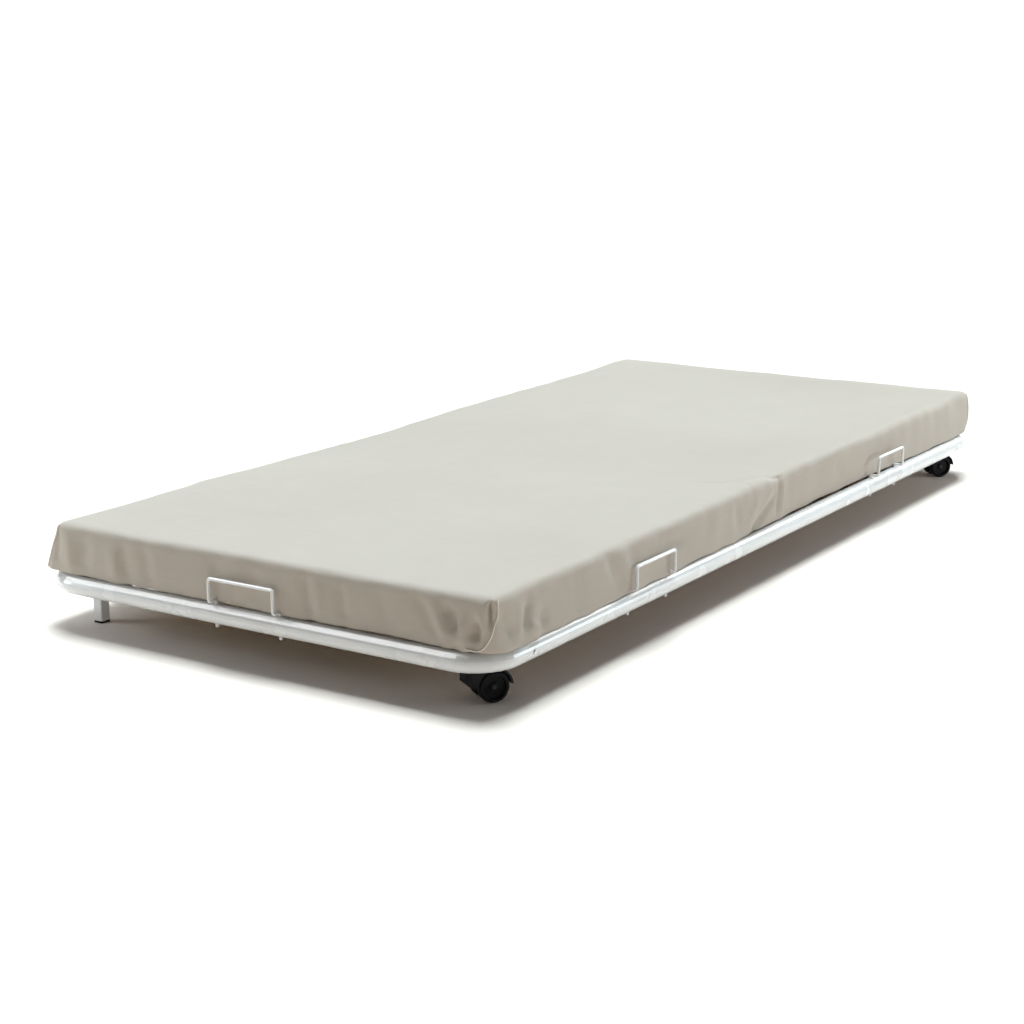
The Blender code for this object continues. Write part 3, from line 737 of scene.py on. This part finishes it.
def smoothed(path, passes):
    """A path with the wiggles evened out, its two ends kept."""
    line = np.array(path)
    for _ in range(passes):
        line[1:-1] = 0.25 * line[:-2] + 0.5 * line[1:-1] + 0.25 * line[2:]
    return line


def stitch_cover():
    """The fitted cover: swollen as cloth, leaned, draped, opened underneath and creased."""
    cover = padded_block("fitted_cover")
    rest = coordinates(cover)
    inset = np.minimum(HALF_WIDTH - np.abs(rest[:, 0]), HALF_LENGTH - np.abs(rest[:, 1]))
    upper = rest[:, 2] > 0.5 * (BLOCK_BOTTOM + BLOCK_TOP)
    loose = 1 - smooth_step(0.004, 0.015, inset)
    top_rim = 0.6 * (1 - smooth_step(0.0, 0.010, BLOCK_TOP - rest[:, 2]))
    foot = 1 - smooth_step(0.002, 0.016, rest[:, 2] - BLOCK_BOTTOM)
    held_above = np.maximum(smooth_step(0.01, 0.10, inset), top_rim)
    held_below = np.maximum(smooth_step(0.004, 0.02, inset), foot)
    held = np.where(upper, held_above, held_below)
    seed_waves(cover, loose)
    swell(cover, SWELL_PRESSURE, EXTRA_CLOTH, loose, held, SWELL_LIMIT)
    lean(cover)
    puff_and_sag(cover)
    drape(cover)
    clear_retainers(cover, COVER_GAP)
    ripple_top(cover)
    mouth = Vector((MOUTH_INSET, MOUTH_INSET, 0.0))
    open_underside(cover, COVER_LOW + mouth, COVER_HIGH - mouth)
    modifier = cover.modifiers.new("finer", "SUBSURF")
    modifier.levels = 1
    modifier.render_levels = 1
    apply_modifiers(cover)
    press_folds(cover, FOLDS)
    shade_smooth(cover)
    dress(cover, "beige_cotton")
    return cover


def seam_path(surface, side, end):
    """The way one corner's seam runs down the cover."""
    if (side, end) == (1, -1):
        back = 0.2 * np.array(SEAM_AIM)
        bends = rounded(NEAR_SEAM, NEAR_SEAM_POINTS)
        return drop_on(surface, [np.array((x, NEAR_SEAM_Y, z)) - back for x, z in bends], SEAM_AIM)
    x, y = TOP_CORNERS[side, end]
    low_x, low_y = BOTTOM_CORNERS[side, end]
    starts = []
    for share in np.linspace(0.06, 0.97, OTHER_SEAM_POINTS):
        starts.append((x + (low_x - x) * share + 0.3 * side, y + (low_y - y) * share + 0.3 * end,
                       BLOCK_TOP + (BLOCK_BOTTOM - BLOCK_TOP) * share))
    return drop_on(surface, starts, (-side, -end, 0))


def cut_foam():
    """The foam block, a little smaller than the cover it fills, with uneven cut faces."""
    block = padded_block("foam_block")
    lean(block)
    drape(block)
    points = coordinates(block)
    foam_low, foam_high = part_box("mattress_core")
    centre = 0.5 * (foam_low + foam_high)
    points[:, 0] *= (foam_high.x - FOAM_INSET) / HALF_WIDTH
    points[:, 1] *= (foam_high.y - FOAM_INSET) / HALF_LENGTH
    points[:, 2] = centre.z + (points[:, 2] - 0.5 * (BLOCK_BOTTOM + BLOCK_TOP)) * FOAM_HEIGHT
    # nothing fixes the seed of noise_vector, so these draws differ from one run to the next
    for index, point in enumerate(points):
        points[index] += FOAM_UNEVEN * np.array(noise.noise_vector(Vector(point) * 9.0))
    set_coordinates(block, points)
    clear_retainers(block, FOAM_GAP)
    shade_smooth(block)
    dress(block, "mattress_foam")
    return block


cover = stitch_cover()
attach(cover, "mattress")
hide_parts("mattress_cover")

surface = BVHTree.FromPolygons([vertex.co for vertex in cover.data.vertices],
                               [tuple(face.vertices) for face in cover.data.polygons])
seams = []
for side, end in TOP_CORNERS:
    path = smoothed(seam_path(surface, side, end), 3)
    seam = cord("corner_seam_" + str(len(seams) + 1), path, SEAM_RADIUS)
    # lighter cotton on the seam cord, a painted highlight
    dress(seam, "seam_cotton_painted_highlight")
    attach(seam, "mattress")
    seams.append(seam)

block = cut_foam()
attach(block, "mattress")
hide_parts("mattress_core")


# ------------------------------------------------------------------ CAD nodes
for item in frame["record"]["subparts"]:
    dress(nodes[item["node"]], item["material_slot"])


# ------------------------------------------------------------------ camera, floor and light
camera = link("camera", bpy.data.cameras.new("camera"))
camera.data.lens = 66.55
camera.data.sensor_width = 36.0
camera.data.clip_end = 200.0
camera.location = (1.905, -3.2195, 0.9453)
aim = Vector((-0.0512, -0.1701, 0.0815))
camera.rotation_euler = (aim - camera.location).to_track_quat("-Z", "Y").to_euler()
scene.camera = camera

bm = bmesh.new()
bmesh.ops.create_circle(bm, cap_ends=True, radius=FLOOR_RADIUS, segments=96)
floor_mesh = bpy.data.meshes.new("studio_floor")
bm.to_mesh(floor_mesh)
bm.free()
floor = link("studio_floor", floor_mesh)
floor.location.z = -0.0002
floor_look, tree, shader, place = new_material("floor_pale", roughness=0.9)
pale = [(0.3, (0.775, 0.685, 0.62)), (0.7, (0.785, 0.695, 0.63))]
tree.links.new(ramp(tree, speckle(tree, place, 3.0), pale), shader.inputs["Base Color"])
floor.data.materials.append(floor_look)

COOL_WHITE = (0.82, 0.94, 1.0)


def softbox(name, place, size, radiance, level=False):
    """A rectangular area light facing the middle of the bed, or hung level and facing down."""
    lamp = bpy.data.lights.new(name, "AREA")
    lamp.shape = "RECTANGLE"
    lamp.size, lamp.size_y = size
    lamp.energy = radiance * math.pi * size[0] * size[1]
    lamp.color = COOL_WHITE
    light = link(name, lamp)
    light.location = place
    if not level:
        light.rotation_euler = Vector(place).to_track_quat("Z", "Y").to_euler()
    return light


sun = bpy.data.lights.new("overhead_light", "SUN")
sun.energy = 4.85
sun.angle = math.radians(24.0)
sun.color = COOL_WHITE
overhead = link("overhead_light", sun)
overhead.rotation_euler = Vector((-0.06, 0.16, 1.0)).to_track_quat("Z", "Y").to_euler()
softbox("left_softbox", (-2.3, 2.0, 3.9), (3.0, 3.0), 3.2)
softbox("right_fill", (2.9, 1.6, 0.6), (2.2, 1.0), 6.3)
softbox("low_left_fill", (-1.2, -1.5, 0.45), (0.35, 0.35), 13.0)

# two plain white strips, seen as highlights only
back_strip = softbox("back_strip", (1.3, 5.6, 3.3), (1.2, 3.4), 8.0)
front_strip = softbox("front_strip", (-3.5, -2.6, 4.2), (6.4, 4.0), 7.0, level=True)
for strip in (back_strip, front_strip):
    strip.data.color = (1.0, 1.0, 1.0)
    strip.visible_diffuse = False

# a warm glow from the horizon and a nearly dark sky
world = bpy.data.worlds.new("studio")
world.use_nodes = True
scene.world = world
tree = world.node_tree
direction = add(tree, "ShaderNodeTexCoord").outputs["Generated"]
height = add(tree, "ShaderNodeSeparateXYZ", None, Vector=direction).outputs["Z"]
sky = ramp(tree, height, [(0.035, (1.0, 0.93, 0.84)), (0.09, (0.06, 0.06, 0.06))])
tree.links.new(sky, tree.nodes["Background"].inputs["Color"])
tree.nodes["Background"].inputs["Strength"].default_value = 1.22
scene.view_settings.view_transform = "Standard"
